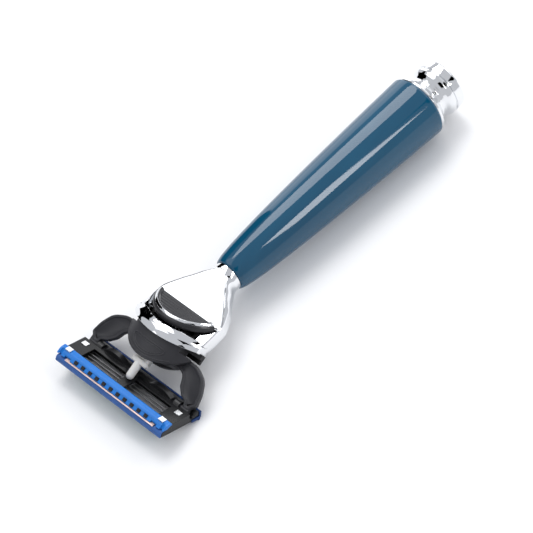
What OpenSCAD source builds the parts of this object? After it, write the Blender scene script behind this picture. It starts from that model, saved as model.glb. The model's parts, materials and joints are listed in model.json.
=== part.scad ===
/* [Grip] */
// Length of the resin grip
grip_len = 74; // [62:0.5:88]
// Radius of the grip where it meets the head
grip_front_r = 4.6; // [4.3:0.1:5.2]
// Largest radius of the grip
grip_rear_r = 9.4; // [8.4:0.1:11]
// Radius of the rounded rear edge of the grip
grip_edge_r = 0.6; // [0.3:0.1:1.2]

/* [Tail] */
// Length of the chrome collar behind the grip
collar_len = 3; // [2.4:0.1:4]
// Radius of the narrow waist of the end cap
waist_r = 6.4; // [5.6:0.1:7.2]
// Radius of the end cap's rim
cap_r = 7.9; // [7.4:0.1:8.8]
// Length of the end cap
cap_len = 7.6; // [7:0.1:9.5]
// Width across the flats of the rod's nut
nut_flats = 5.5; // [5:0.1:6]
// Thickness of the rod's nut
nut_t = 1.7; // [1.5:0.1:2]

/* [Tie rod] */
// Radius of the tie rod
rod_r = 1.5; // [1.2:0.1:1.8]
// Depth that the rod screws into the head
rod_in_head = 8; // [6:0.5:9]
// Depth that the rod screws into the end cap
rod_in_cap = 3; // [2.4:0.1:3.6]

/* [Head] */
// Half width of the head at its front
head_half_w = 12.2; // [11.8:0.1:13.2]
// Radius of the head's arched top
arch_r = 16.5; // [15.6:0.1:17.5]
// Thickness of the arched front lip
lip_t = 0.8; // [0.6:0.05:1]
// Slope of the line that the cartridge slides along, below the grip's axis
dock_tilt = 24; // [22:1:26]

/* [Button] */
// Height of the button above the head
button_h = 1.75; // [1.65:0.05:2.1]
// Travel of the button
button_travel = 2; // [1.6:0.1:2.1]
// Gap in front of the button
button_gap = 1.3; // [1.25:0.05:1.6]
// Number of ridges on the button
ridge_count = 5; // [3:1:6]

/* [Plunger] */
// Radius of the plunger's finger
finger_r = 1.15; // [0.95:0.05:1.25]
// Travel of the plunger
plunger_travel = 2.8; // [2.8:0.1:3]
// Half width of the plunger's crossbar
bar_half_w = 2.75; // [2.4:0.05:3]

/* [Yoke] */
// Thickness of the yoke's arched roof
roof_t = 1.1; // [0.9:0.05:1.2]
// Half width of the yoke's middle
saddle_half_w = 8.2; // [7.8:0.1:8.6]
// Thickness of the yoke's arms
arm_t = 1.6; // [1.3:0.1:1.8]
// Radius of the pivot pins
pin_r = 0.75; // [0.6:0.05:0.85]

/* [Cartridge] */
// Width of the cartridge
cart_w = 42; // [41:0.5:46]
// Depth of the cartridge, from its nose to its guard edge
cart_depth = 14.7; // [14.5:0.1:15.5]
// Slope of the shaving face when the razor lies down
cart_tilt = 21.5; // [19:0.5:23]
// Distance between neighbouring blade edges
blade_pitch = 1.2; // [1.1:0.02:1.24]
// Number of fins on the guard
fin_count = 6; // [4:1:8]

/* [Fits] */
// Gap between sliding faces
slide_gap = 0.25; // [0.2:0.01:0.3]
// Gap between a pivot pin and its hole
pin_gap = 0.05; // [0.02:0.01:0.09]
// Gap around pieces that are assembled and stay put
seat_gap = 0.05; // [0.02:0.01:0.1]

/* [Hidden] */

fine = 72;
small = 32;
eps = 0.01;

// Places in the handle frame: Y runs back along the grip from its front face
// and Z is up.
nose_at = [0, -47.5, -4.9];
dock_at = [0, -27.4, 0.9];
facet_front = [0, -15.3, 0.75];
facet_tilt = 14.6;
deck_tilt = 28.7;
neck_r = grip_front_r - 0.2;

// Frames. Each takes a point of its own to the handle frame.
function turned(v, a) = [v[0], v[1] * cos(a) - v[2] * sin(a), v[1] * sin(a) + v[2] * cos(a)];
function from_cart(v) = nose_at + turned(v, -cart_tilt);
function to_dock(v) = turned(v - dock_at, -dock_tilt);

// Pivot, in the cartridge frame (Y from nose to guard, Z towards the back)
pivot_in_cart = [0, 11.7, 2.2];
pivot_in_dock = to_dock(from_cart(pivot_in_cart));
back_n = 2.97;
ear_r = 1.45;
pin_in = 14.4;
pin_root = 16.5;
cart_half_w = cart_w / 2;
tip_out = cart_half_w - 0.6;

// Lay of the whole razor: the guard's edge and the grip's rear edge touch the table
guard_round = 0.5;
guard_low = [0, cart_depth - 0.7, guard_round - 0.35];
touch_a = from_cart(guard_low);
touch_b = [0, grip_len - grip_edge_r, grip_edge_r - grip_rear_r];
touch_d = touch_b - touch_a;
lay = atan2(touch_d[2], touch_d[1])
    - asin((grip_edge_r - guard_round) / norm(touch_d));
seat_z = guard_round - turned(touch_a, -lay)[2];
tail_end = grip_len + collar_len + cap_len;
rim_edge_r = 0.6;
nose_r = 0.6;
front_y = turned(from_cart([0, nose_r, nose_r]), -lay)[1] - nose_r;
rear_y = turned([0, tail_end - rim_edge_r, cap_r - rim_edge_r], -lay)[1] + rim_edge_r;
seat_y = -(front_y + rear_y) / 2;

module lay_down() {
    translate([0, seat_y, seat_z]) rotate([-lay, 0, 0]) children();
}
module in_dock() {
    lay_down() translate(dock_at) rotate([dock_tilt, 0, 0]) children();
}
module in_cart() {
    lay_down() translate(nose_at) rotate([-cart_tilt, 0, 0]) children();
}
module dock_in_handle() {
    translate(dock_at) rotate([dock_tilt, 0, 0]) children();
}
module deck_in_handle() {
    translate(facet_front) rotate([-deck_tilt, 0, 0]) children();
}
// Turned about the grip's axis from a profile of [radius, distance back]
module turned_part(points) {
    rotate([-90, 0, 0]) rotate_extrude($fn = fine) polygon(points);
}
// Cylinder along Y from y0 to y1
module rod_along(r, y0, y1, sides = small) {
    translate([0, y0, 0]) rotate([-90, 0, 0]) cylinder(r = r, h = y1 - y0, $fn = sides);
}
// Outline drawn in Y and Z, stretched across X from x0 to x1
module across(x0, x1) {
    translate([x0, 0, 0]) rotate([90, 0, 90]) linear_extrude(height = x1 - x0) children();
}
module mirrored() {
    children();
    mirror([1, 0, 0]) children();
}
// Box between two corners
module box(a, b) {
    translate(a) cube(b - a);
}
module spring(mean_r, wire_r, y0, y1, turns) {
    pitch = (y1 - y0 - 2 * wire_r) / (turns - 1);
    for (i = [0 : turns - 1])
        translate([0, y0 + wire_r + i * pitch, 0]) rotate([-90, 0, 0])
            rotate_extrude($fn = small) translate([mean_r, 0]) circle(r = wire_r, $fn = 16);
    for (x = [-1, 1])
        box([x * mean_r - wire_r / 2, y0 + wire_r, -wire_r / 2],
            [x * mean_r + wire_r / 2, y1 - wire_r, wire_r / 2]);
}

// ---- handle ----
rod_hole_r = rod_r + seat_gap;
grip_bore_r = rod_r + 0.5;
seal_r = 0.5;
front_seal_at = 3.2;
rear_seal_at = 5.5;

function grip_r(t) = grip_front_r + (grip_rear_r - grip_front_r) * sqrt(t);

module grip() {
    body_len = grip_len - grip_edge_r;
    steps = 20;
    side = [for (i = [0 : steps]) let (t = pow(i / steps, 1.6)) [grip_r(t), t * body_len]];
    edge = [for (a = [15 : 15 : 90]) [
        grip_rear_r - grip_edge_r + grip_edge_r * cos(a), body_len + grip_edge_r * sin(a)
    ]];
    color("steelblue") lay_down() turned_part(concat(
        [[grip_bore_r, 0]], side, edge, [[grip_bore_r, grip_len]]
    ));
}
module end_collar() {
    front_r = grip_rear_r - grip_edge_r + 0.2;
    color("silver") lay_down() translate([0, grip_len, 0]) difference() {
        turned_part([
            [rod_hole_r, 0], [front_r - 0.3, 0], [front_r, 0.3], [front_r, 0.8],
            [waist_r + 1.4, collar_len * 0.6], [waist_r + 0.7, collar_len - 0.4],
            [waist_r + 0.7, collar_len], [rod_hole_r, collar_len]
        ]);
        seal_groove(rear_seal_at);
    }
}
module seal_groove(at_r) {
    rotate([-90, 0, 0]) rotate_extrude($fn = fine)
        translate([at_r - seal_r - seat_gap, -eps]) square([2 * seal_r + 2 * seat_gap, 2 * seal_r + eps]);
}
module seal_ring(at_r) {
    rotate([-90, 0, 0]) rotate_extrude($fn = fine)
        translate([at_r, seal_r]) circle(r = seal_r, $fn = 24);
}
module front_seal() {
    color("dimgray") lay_down() mirror([0, 1, 0]) seal_ring(front_seal_at);
}
module rear_seal() {
    color("dimgray") lay_down() translate([0, grip_len, 0]) seal_ring(rear_seal_at);
}
washer_t = 0.4;
washer_r = nut_flats / sqrt(3) + 0.3;
pocket_r = washer_r + 0.3;
pocket_len = washer_t + nut_t + 0.2;

module end_cap() {
    groove_at = 0.55 * cap_len;
    groove_w = 0.35;
    rim_dome = 0.35;
    color("silver") lay_down() translate([0, grip_len + collar_len, 0]) difference() {
        turned_part([
            [0, 0], [waist_r, 0], [waist_r, 0.9], [waist_r + 0.35, 1.5],
            [cap_r - 0.35, 2.4], [cap_r, 3.3], [cap_r, groove_at - 0.15],
            [cap_r - 0.5, groove_at], [cap_r - 0.5, groove_at + groove_w],
            [cap_r, groove_at + groove_w + 0.15], [cap_r, cap_len - rim_edge_r],
            [cap_r - 0.18, cap_len - 0.18], [cap_r - rim_edge_r, cap_len],
            [cap_r - 1.4, cap_len], [cap_r - 1.7, cap_len - rim_dome], [0, cap_len - rim_dome]
        ]);
        rod_along(pocket_r, -eps, pocket_len);
        rod_along(rod_hole_r, 0, pocket_len + rod_in_cap + 0.3);
    }
}
module tie_rod() {
    color("gainsboro") lay_down()
        rod_along(rod_r, -rod_in_head, grip_len + collar_len + pocket_len + rod_in_cap);
}
module rod_washer() {
    color("gainsboro") lay_down() translate([0, grip_len + collar_len, 0]) difference() {
        rod_along(washer_r, 0, washer_t);
        rod_along(rod_hole_r, -1, washer_t + 1);
    }
}
module rod_nut() {
    color("gainsboro") lay_down()
        translate([0, grip_len + collar_len + washer_t, 0]) difference() {
            rod_along(nut_flats / sqrt(3), 0, nut_t, 6);
            rod_along(rod_hole_r, -1, nut_t + 1);
        }
}

// ---- head ----
// Dock frame: Y back along the slide, Z square to it, X across. Arches share one centre.
arch_top = 3.5;
arch_z = arch_top - arch_r;
lip_in_r = arch_r - lip_t;
roof_r = lip_in_r - slide_gap;
roof_in_r = roof_r - roof_t;
boss_r = roof_in_r - slide_gap;
shell_y = 3.3;
lip_front = 0.95;
lip_half_w = head_half_w - 0.05;
lip_sweep_r = 36;
lip_low = -3.4;
cave_half_w = head_half_w - 2.3;
cave_floor = -6.4;
neck_len = 1.6;
cave_back = 8.8;
head_low = -7.6;

// Button frame: Y back down the deck, Z square to it
recess_r = 11.7;
recess_y = 1.3;
recess_back = -0.3;
button_r = recess_r - 0.3;
button_y = recess_y + button_gap - 0.2;
button_back = -0.8;
button_low = -0.6;
bevel = 1;
slide_sink = sin(dock_tilt + deck_tilt);
recess_low = button_low - button_travel * slide_sink - 0.3;

// Upright disc whose front edge reaches y
module plan_disc(r, y) {
    translate([0, y + r, -20]) cylinder(r = r, h = 40, $fn = 180);
}
module arch_disc(r, y0, y1) {
    translate([0, 0, arch_z]) rod_along(r, y0, y1, 180);
}
// Section of the head: arched top, straight sides and rounded lower corners
module loaf(half_w, top, low, top_r, corner) {
    rise = top - top_r;
    a = asin(half_w / top_r);
    polygon(concat(
        [for (i = [-8 : 8]) [top_r * sin(i * a / 8), rise + top_r * cos(i * a / 8)]],
        [for (t = [0 : 30 : 90]) [half_w - corner + corner * cos(t), low + corner - corner * sin(t)]],
        [for (t = [90 : 30 : 180]) [-half_w + corner + corner * cos(t), low + corner - corner * sin(t)]]
    ));
}
module station(y, half_w, top, low, top_r, corner) {
    translate([0, y, 0]) rotate([90, 0, 0]) linear_extrude(height = 0.1)
        loaf(half_w, top, low, top_r, corner);
}
module throat_station() {
    station(-5.2, 6.3, 5.2, -4.7, 7, 3.6);
}
module middle_station() {
    station(-9.6, 9.8, 5.2, -4.85, 13, 3.2);
}
module shoulder_station() {
    station(-14.5, head_half_w - 0.3, 5.6, -4.9, 17, 2.6);
}
module front_station() {
    dock_in_handle() station(shell_y + 0.1, head_half_w, arch_top, head_low, arch_r, 2.2);
}
module head_body() {
    rod_along(neck_r, -neck_len, 0, fine);
    hull() {
        rod_along(neck_r, -neck_len, -neck_len + 0.1, small);
        throat_station();
    }
    hull() {
        throat_station();
        middle_station();
    }
    hull() {
        middle_station();
        shoulder_station();
    }
    hull() {
        shoulder_station();
        front_station();
    }
}
module lip_band() {
    difference() {
        intersection() {
            arch_disc(arch_r, lip_front, shell_y + 4);
            box([-lip_half_w, 0, lip_low], [lip_half_w, 10, 10]);
            plan_disc(lip_sweep_r, lip_front);
        }
        arch_disc(lip_in_r, lip_front - 1, shell_y + 5);
    }
}
module facet_cut() {
    far = 40;
    translate(facet_front) rotate([facet_tilt, 0, 0]) translate([-far, 0, 0]) cube([2 * far, far, far]);
    deck_in_handle() translate([-far, -far, 0]) cube([2 * far, far, far]);
    translate([-far, facet_front[1] - 1, facet_front[2] + 1]) cube([2 * far, 3, far]);
}
// D-shaped plan of the button or its recess, drawn on the deck
module d_plan(r, y, back) {
    intersection() {
        translate([0, y]) circle(r = r, $fn = 120);
        translate([-r, y - 2 * r]) square([2 * r, 2 * r - y + back]);
    }
}
module recess() {
    deck_in_handle() translate([0, 0, recess_low])
        linear_extrude(height = 8) d_plan(recess_r, recess_y, recess_back);
}
module cave() {
    dock_in_handle() intersection() {
        box([-cave_half_w, -2, cave_floor], [cave_half_w, cave_back, 6]);
        arch_disc(lip_in_r, -3, cave_back + 1);
    }
}
module head_shell() {
    color("silver") lay_down() difference() {
        union() {
            head_body();
            dock_in_handle() lip_band();
        }
        facet_cut();
        recess();
        cave();
        rod_along(rod_hole_r, -rod_in_head - 0.3, 1);
        mirror([0, 1, 0]) seal_groove(front_seal_at);
        dock_in_handle() lock_screw_space();
    }
}
screw_y = 5.3;
screw_r = 1;
screw_low = head_low + 0.5;
screw_len = 1.25;
module lock_screw_space() {
    translate([0, screw_y, head_low - 4])
        cylinder(r = screw_r + seat_gap, h = screw_low + screw_len + 0.1 - head_low + 4, $fn = small);
}
module lock_screw() {
    slot_w = 0.35;
    color("gainsboro") in_dock() difference() {
        translate([0, screw_y, screw_low]) cylinder(r = screw_r, h = screw_len, $fn = small);
        box([-2, screw_y - slot_w / 2, head_low], [2, screw_y + slot_w / 2, screw_low + 0.5]);
    }
}

// Places along the dock, from the front to the back
boss_front = -5.2;
flange_front = 1.9;
channel_back = 2.2;
bar_front = -8.3;
bar_back = -5;
lug_front = -3.8;
lug_back = -2.8;
lug_half_w = bar_half_w + 0.85;
bar_top = finger_r;
bar_low = -1.3;
wall_in = saddle_half_w - 1.2;
boss_half_w = wall_in - slide_gap;
saddle_front = -6.2;
saddle_back = 2.6;
saddle_low = -6;
saddle_floor = -4.8;
saddle_sweep_r = 13.5;
shoulder_half_w = 11.4;
shoulder_back = 0.6;
arm_top = pivot_in_dock[2] + arm_t / 2;
fork_out = saddle_half_w - 0.05;
fork_in = wall_in + 0.1;
fork_low = -4.4;
fork_top = -3;
bridge_front = 7.2;
bridge_back = 8.5;
bridge_low = -5.6;
bridge_top = -3.2;
spring_z = -4.4;
spring_front = 3.9;

module dock_insert() {
    color("#1c1c1f") in_dock() difference() {
        union() {
            intersection() {
                union() {
                    box([-boss_half_w, boss_front, saddle_floor + slide_gap],
                        [boss_half_w, shell_y, 6]);
                    box([-head_half_w + 0.4, flange_front, head_low + 0.4],
                        [head_half_w - 0.4, shell_y - seat_gap, 6]);
                }
                arch_disc(boss_r, boss_front, cave_back);
                plan_disc(saddle_sweep_r + boss_half_w, boss_front);
            }
            box([-head_half_w + 0.4, 0.6, head_low + 0.4],
                [head_half_w - 0.4, shell_y - seat_gap, saddle_low - slide_gap]);
            intersection() {
                box([-cave_half_w + seat_gap, shell_y - 0.2, cave_floor + seat_gap],
                    [cave_half_w - seat_gap, cave_back - seat_gap, 6]);
                arch_disc(boss_r, 0, cave_back);
            }
        }
        insert_cuts();
    }
}
module insert_cuts() {
    // Button's room, square to the deck
    rotate([-dock_tilt, 0, 0]) translate(-dock_at) recess();
    // Plunger's channel, its lug grooves and the wall slots for the yoke
    box([-bar_half_w - slide_gap, boss_front - 1, bar_low - slide_gap],
        [bar_half_w + slide_gap, channel_back, 8]);
    box([-lug_half_w - slide_gap, lug_front - 0.05, -0.85],
        [lug_half_w + slide_gap, lug_back + plunger_travel + 0.3, 0.85]);
    mirrored() box([wall_in - slide_gap, -10, saddle_floor],
        [saddle_half_w + slide_gap, saddle_back + slide_gap, 6]);
    // Ejector's channel and its spring's pocket
    mirrored() box([fork_in - slide_gap, 0, fork_low - slide_gap],
        [fork_out + slide_gap, cave_back, fork_top + slide_gap]);
    box([-fork_out - slide_gap, bridge_front - button_travel - slide_gap, bridge_low - slide_gap],
        [fork_out + slide_gap, cave_back + 1, 6]);
    translate([0, 0, spring_z]) rod_along(1.6, spring_front, cave_back);
    lock_screw_space();
}
module ejector_fork() {
    color("#2b2b30") in_dock() difference() {
        union() {
            box([-fork_out, bridge_front, bridge_low], [fork_out, bridge_back, bridge_top]);
            mirrored() box([fork_in, saddle_back + 0.03, fork_low],
                [fork_out, bridge_front + 0.5, fork_top]);
            box([-3, bridge_front, bridge_top - 0.5], [3, bridge_back, 2]);
        }
        rotate([-dock_tilt, 0, 0]) translate(-dock_at) deck_in_handle()
            translate([-20, -20, button_low]) cube(40);
    }
}
module release_button() {
    dish = 0.55;
    ridge_w = 0.45;
    ridge_pitch = 1;
    color("#2d2d32") lay_down() deck_in_handle() difference() {
        hull() {
            translate([0, 0, button_low]) linear_extrude(height = 0.7 - button_low)
                d_plan(button_r, button_y, button_back);
            translate([0, 0, button_h - 0.1]) linear_extrude(height = 0.1)
                d_plan(button_r - bevel, button_y, button_back);
        }
        difference() {
            translate([0, 0, button_h - dish]) linear_extrude(height = 2)
                d_plan(button_r - bevel - 0.9, button_y, button_back + 0.5);
            for (i = [1 : ridge_count])
                translate([-12, button_back - i * ridge_pitch, button_h - dish - 1])
                    cube([24, ridge_w, 1 + dish - 0.12]);
        }
    }
}
module button_spring() {
    color("gainsboro") in_dock() translate([0, 0, spring_z])
        spring(1.2, 0.12, spring_front, bridge_front, 5);
}

// ---- plunger ----
tip_y = -12;
module plunger() {
    color("lightgray") in_dock() union() {
        translate([0, tip_y, 0]) sphere(r = finger_r, $fn = small);
        rod_along(finger_r, tip_y, bar_front + 0.5);
        difference() {
            intersection() {
                box([-bar_half_w, bar_front, bar_low], [bar_half_w, bar_back, bar_top]);
                translate([0, 0, bar_top - 4.2]) rod_along(4.2, bar_front - 1, bar_back + 1, 64);
            }
            translate([0, bar_front, bar_low - 0.4]) rotate([0, 90, 0])
                cylinder(r = 0.9, h = 8, center = true, $fn = small);
        }
        box([-bar_half_w + 0.6, bar_back - 0.5, -0.6], [bar_half_w - 0.6, lug_back, 0.6]);
        box([-lug_half_w, lug_front, -0.6], [lug_half_w, lug_back, 0.6]);
        rod_along(0.8, lug_back - 0.2, lug_back + 1.1);
    }
}
module plunger_spring() {
    color("gainsboro") in_dock() spring(1.2, 0.15, lug_back, channel_back, 5);
}

// ---- yoke ----
module arm_plan() {
    py = pivot_in_dock[1];
    polygon([
        [wall_in + 0.4, flange_front - 1.6], [14.3, flange_front - 1.6], [17.2, -1.5],
        [19, -4], [20.1, -7], [tip_out, -8.8], [tip_out - 1.2, -9.7], [tip_out - 1.2, py],
        [pin_root, py], [pin_root, py + 1.9], [14.4, py + 2.6],
        [12.4, -6.4], [10.8, -3.9], [wall_in + 0.4, -2.4]
    ]);
}
module yoke() {
    color("#37373e") in_dock() {
        difference() {
            union() {
                intersection() {
                    union() {
                        box([-saddle_half_w, saddle_front, saddle_low],
                            [saddle_half_w, saddle_back, 6]);
                        difference() {
                            box([-shoulder_half_w, saddle_front, arm_top - arm_t],
                                [shoulder_half_w, shoulder_back, 6]);
                            arch_disc(roof_in_r, saddle_front - 1, saddle_back);
                        }
                    }
                    arch_disc(roof_r, saddle_front - 1, saddle_back + 1);
                    plan_disc(saddle_sweep_r, saddle_front);
                }
                mirrored() translate([0, 0, arm_top - arm_t])
                    linear_extrude(height = arm_t) arm_plan();
            }
            // Room for the dock's boss and the plunger
            intersection() {
                box([-wall_in, saddle_front - 1, saddle_floor], [wall_in, saddle_back + 1, 6]);
                arch_disc(roof_in_r, saddle_front - 2, saddle_back + 2);
            }
            box([-20, 0.35, saddle_low - 1], [20, saddle_back + 1, saddle_floor + 0.1]);
        }
        mirrored() {
            translate([pin_root, pivot_in_dock[1], pivot_in_dock[2]]) rotate([0, 90, 0])
                cylinder(r = arm_t / 2, h = tip_out - 1.2 - pin_root, $fn = small);
            translate([pin_in, pivot_in_dock[1], pivot_in_dock[2]]) rotate([0, 90, 0])
                cylinder(r = pin_r, h = pin_root - pin_in + 0.5, $fn = small);
        }
    }
}

// ---- cartridge ----
blade_half_w = 17;
bay_half_w = blade_half_w + 0.2;
bay_front = 3.8;
bay_back = 10;
first_edge = 4.9;
bay_top = back_n - 0.5;
lube_front = 1.3;
ridge_front = 10.7;
ridge_back = 12.3;
ridge_top = 3.35;
ridge_half_w = 13.2;

module housing_profile() {
    polygon([
        [0.6, 0.25], [3.4, 0.1], [cart_depth - 3.2, 0.1], [cart_depth - 3.2, 0.6],
        [cart_depth - 0.6, 0.9], [cart_depth - 0.6, 2.3], [cart_depth - 1.4, 2.7],
        [10.4, back_n], [3.7, back_n], [2.4, 2.1], [0.9, 1.5]
    ]);
}
module hump(x) {
    hump_r = 7.5;
    hump_top = 4.6;
    intersection() {
        translate([x, 0, hump_top - hump_r]) rod_along(hump_r, ridge_front, ridge_back, 64);
        box([x - 4.4, ridge_front, back_n - 0.5], [x + 4.4, ridge_back, hump_top]);
    }
}
module cartridge_housing() {
    rib_half_w = 1.5;
    window_back = 9.2;
    tip_room = cart_half_w - pin_root + 1;
    color("#17171a") in_cart() difference() {
        union() {
            across(-cart_half_w + 0.3, cart_half_w - 0.3) housing_profile();
            box([-ridge_half_w, ridge_front, back_n - 0.5], [ridge_half_w, ridge_back, ridge_top]);
            mirrored() {
                hump(8.9);
                translate([pin_in - 0.2, pivot_in_cart[1], pivot_in_cart[2]]) rotate([0, 90, 0])
                    cylinder(r = ear_r, h = pin_root - pin_in - slide_gap + 0.2, $fn = small);
            }
        }
        box([-bay_half_w, bay_front, -1], [bay_half_w, bay_back, bay_top]);
        mirrored() {
            box([rib_half_w, bay_front + 0.3, 0], [15.2, window_back, 6]);
            // Pin hole
            translate([pin_in - 0.4, pivot_in_cart[1], pivot_in_cart[2]]) rotate([0, 90, 0])
                cylinder(r = pin_r + pin_gap, h = 6, $fn = small);
            // Room for the arm's tip through the whole swing
            translate([pin_root - slide_gap, pivot_in_cart[1], pivot_in_cart[2]]) rotate([0, 90, 0])
                cylinder(r = arm_t / 2 + slide_gap, h = tip_room, $fn = small);
            for (a = [dock_tilt + cart_tilt : 8 : dock_tilt + cart_tilt + 42])
                translate([pin_root - slide_gap, pivot_in_cart[1], pivot_in_cart[2]])
                    rotate([a, 0, 0]) translate([0, 0, -arm_t / 2 - slide_gap])
                        cube([tip_room, 6, arm_t + 2 * slide_gap]);
            clip_space();
        }
    }
}
// The comb runs along the back of the nose, with a slot over each tooth gap
comb_front = 0.75;
comb_low = 2.3;
comb_top = 3.75;
comb_slots = 11;
trim_half_w = 17.3;
module trimmer_comb() {
    slot_w = 1.3;
    slot_pitch = 2.75;
    color("#1482e0") in_cart() difference() {
        across(-cart_half_w, cart_half_w) polygon([
            [comb_front, comb_low], [1.65, 3.2], [2.3, comb_top - 0.15], [3.6, comb_top], [4, 3.5],
            [4, back_n + 0.02], [3.7, back_n + 0.02], [2.35, 2.28], [1.5, 2.3]
        ]);
        for (i = [0 : comb_slots - 1])
            translate([(i - (comb_slots - 1) / 2) * slot_pitch, 0, 0])
                box([-slot_w / 2, 0, comb_low + 0.3], [slot_w / 2, 1.6, comb_low + 0.85]);
        mirrored() {
            box([15.9, 0, 0], [18, 1.3, 3]);
            translate([cart_half_w - 1.1, 1.2, 2.8]) rotate([-40, 0, 0])
                cylinder(r = 0.45, h = 3, center = true, $fn = small);
            clip_space();
        }
    }
}
module trimmer_blade() {
    color("#c9b6b2") in_cart() across(-trim_half_w, trim_half_w) polygon([
        [0.35, 2.0], [0.62, 1.84], [2.3, 2.15], [2.3, 2.25], [1.5, 2.27], [0.7, 2.16]
    ]);
}
module cap_lip() {
    waves = 10;
    wave_pitch = 4;
    color("#3c64af") in_cart() difference() {
        union() {
            across(-cart_half_w + 0.4, cart_half_w - 0.4) polygon([
                [0.2, 0.5], [0.55, 0.28], [0.85, 1.5], [2.2, 1.95], [2.2, 2.1], [0.62, 1.8], [0.25, 1.3]
            ]);
            translate([0, nose_r, nose_r]) rotate([0, 90, 0])
                cylinder(r = nose_r, h = cart_w - 1, center = true, $fn = small);
        }
        across(-cart_w, cart_w) housing_profile();
        box([-cart_w, lube_front, -1], [cart_w, 4, 0.4]);
        for (i = [0 : waves - 1])
            translate([(i - (waves - 1) / 2) * wave_pitch, -1.15, 1])
                cylinder(r = 1.3, h = 4, center = true, $fn = small);
    }
}
module lubricating_strip() {
    color("#8fd0c8") in_cart() across(-bay_half_w, bay_half_w) polygon([
        [lube_front, 0.19], [1.5, -0.25], [2, -0.4], [3.1, -0.4], [3.4, -0.2], [3.4, 0.1]
    ]);
}
module guard_strip() {
    fin_pitch = 0.42;
    fin_base = cart_depth - 3.1;
    color("#1c3f77") in_cart() union() {
        across(-cart_half_w, cart_half_w) polygon([
            [fin_base - 0.1, 0.6], [fin_base - 0.1, -0.05], [guard_low[1], -0.05],
            [cart_depth, 0.5], [cart_depth, 2.4], [cart_depth - 0.6, 2.45],
            [cart_depth - 0.6, 0.9]
        ]);
        translate([0, guard_low[1], guard_low[2]]) rotate([0, 90, 0])
            cylinder(r = guard_round, h = cart_w, center = true, $fn = small);
        for (i = [0 : fin_count - 1])
            box([-bay_half_w, fin_base + i * fin_pitch, -0.3],
                [bay_half_w, fin_base + i * fin_pitch + 0.16, 0.2]);
    }
}
// Each clip wraps the shaving face and folds over on the back
clip_x = 18.35;
clip_half_w = 0.95;
clip_t = 0.2;
clip_front = 2.2;
clip_back = 9.25;
module clip_space() {
    g = seat_gap;
    for (y = [clip_front, clip_back])
        box([clip_x - clip_half_w - g, y - g, -2], [clip_x + clip_half_w + g, y + clip_t + g, 6]);
    box([clip_x - clip_half_w - g, clip_front - g, -2],
        [clip_x + clip_half_w + g, clip_back + clip_t + g, 0.1]);
}
module clip(x) {
    tab = 1.5;
    front_top = comb_top + 0.02;
    color("whitesmoke") in_cart() translate([x - clip_half_w, 0, 0]) {
        w = 2 * clip_half_w;
        box([0, clip_front, -0.12], [w, clip_front + clip_t, front_top + clip_t]);
        box([0, clip_front, front_top], [w, clip_front + tab, front_top + clip_t]);
        box([0, clip_front, -0.12], [w, clip_back + clip_t, clip_t - 0.12]);
        box([0, clip_back, -0.12], [w, clip_back + clip_t, back_n + 0.02 + clip_t]);
        box([0, clip_back + clip_t - tab, back_n + 0.02], [w, clip_back + clip_t, back_n + 0.02 + clip_t]);
    }
}
module left_clip() {
    clip(-clip_x);
}
module right_clip() {
    clip(clip_x);
}
blade_tilt = 22;
blade_len = 1.1;
blade_t = 0.1;
support_t = 0.12;
// Point on a blade: a along it from its edge, b square to it
function on_blade(a, b) =
    [-a * cos(blade_tilt) + b * sin(blade_tilt), a * sin(blade_tilt) + b * cos(blade_tilt)];

module blade(n) {
    color("silver") in_cart() translate([0, first_edge + (n - 1) * blade_pitch, 0])
        across(-blade_half_w, blade_half_w) polygon([
            on_blade(0, 0), on_blade(blade_len, 0), on_blade(blade_len, blade_t), on_blade(0.3, blade_t)
        ]);
}
module blade_support(n) {
    leg_y = -0.66;
    leg_top = 2.05;
    outer = blade_t + support_t;
    flange_end = 0.45;
    function along(y) = (outer * sin(blade_tilt) - y) / cos(blade_tilt);
    color("gray") in_cart() translate([0, first_edge + (n - 1) * blade_pitch, 0])
        across(-blade_half_w, blade_half_w) polygon([
            on_blade(flange_end, blade_t), on_blade(blade_len, blade_t), on_blade(blade_len, outer),
            on_blade(along(leg_y), outer), [leg_y, leg_top],
            [leg_y + support_t, leg_top], on_blade(along(leg_y + support_t), outer),
            on_blade(flange_end, outer)
        ]);
}
module blade_1() { blade(1); }
module blade_2() { blade(2); }
module blade_3() { blade(3); }
module blade_4() { blade(4); }
module blade_5() { blade(5); }
module blade_support_1() { blade_support(1); }
module blade_support_2() { blade_support(2); }
module blade_support_3() { blade_support(3); }
module blade_support_4() { blade_support(4); }
module blade_support_5() { blade_support(5); }

grip();
end_collar();
end_cap();
tie_rod();
rod_washer();
rod_nut();
front_seal();
rear_seal();
head_shell();
dock_insert();
lock_screw();
release_button();
ejector_fork();
button_spring();
plunger();
plunger_spring();
yoke();
cartridge_housing();
trimmer_comb();
trimmer_blade();
cap_lip();
lubricating_strip();
guard_strip();
left_clip();
right_clip();
blade_1();
blade_2();
blade_3();
blade_4();
blade_5();
blade_support_1();
blade_support_2();
blade_support_3();
blade_support_4();
blade_support_5();
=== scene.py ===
"""Cartridge razor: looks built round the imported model. Local sizes are millimetres, Blender's metres."""
import json
from math import acos, asin, atan2, cos, pi, radians, sin, sqrt, tan

import bmesh
import bpy
import numpy as np
from mathutils import Matrix, Vector


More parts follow.
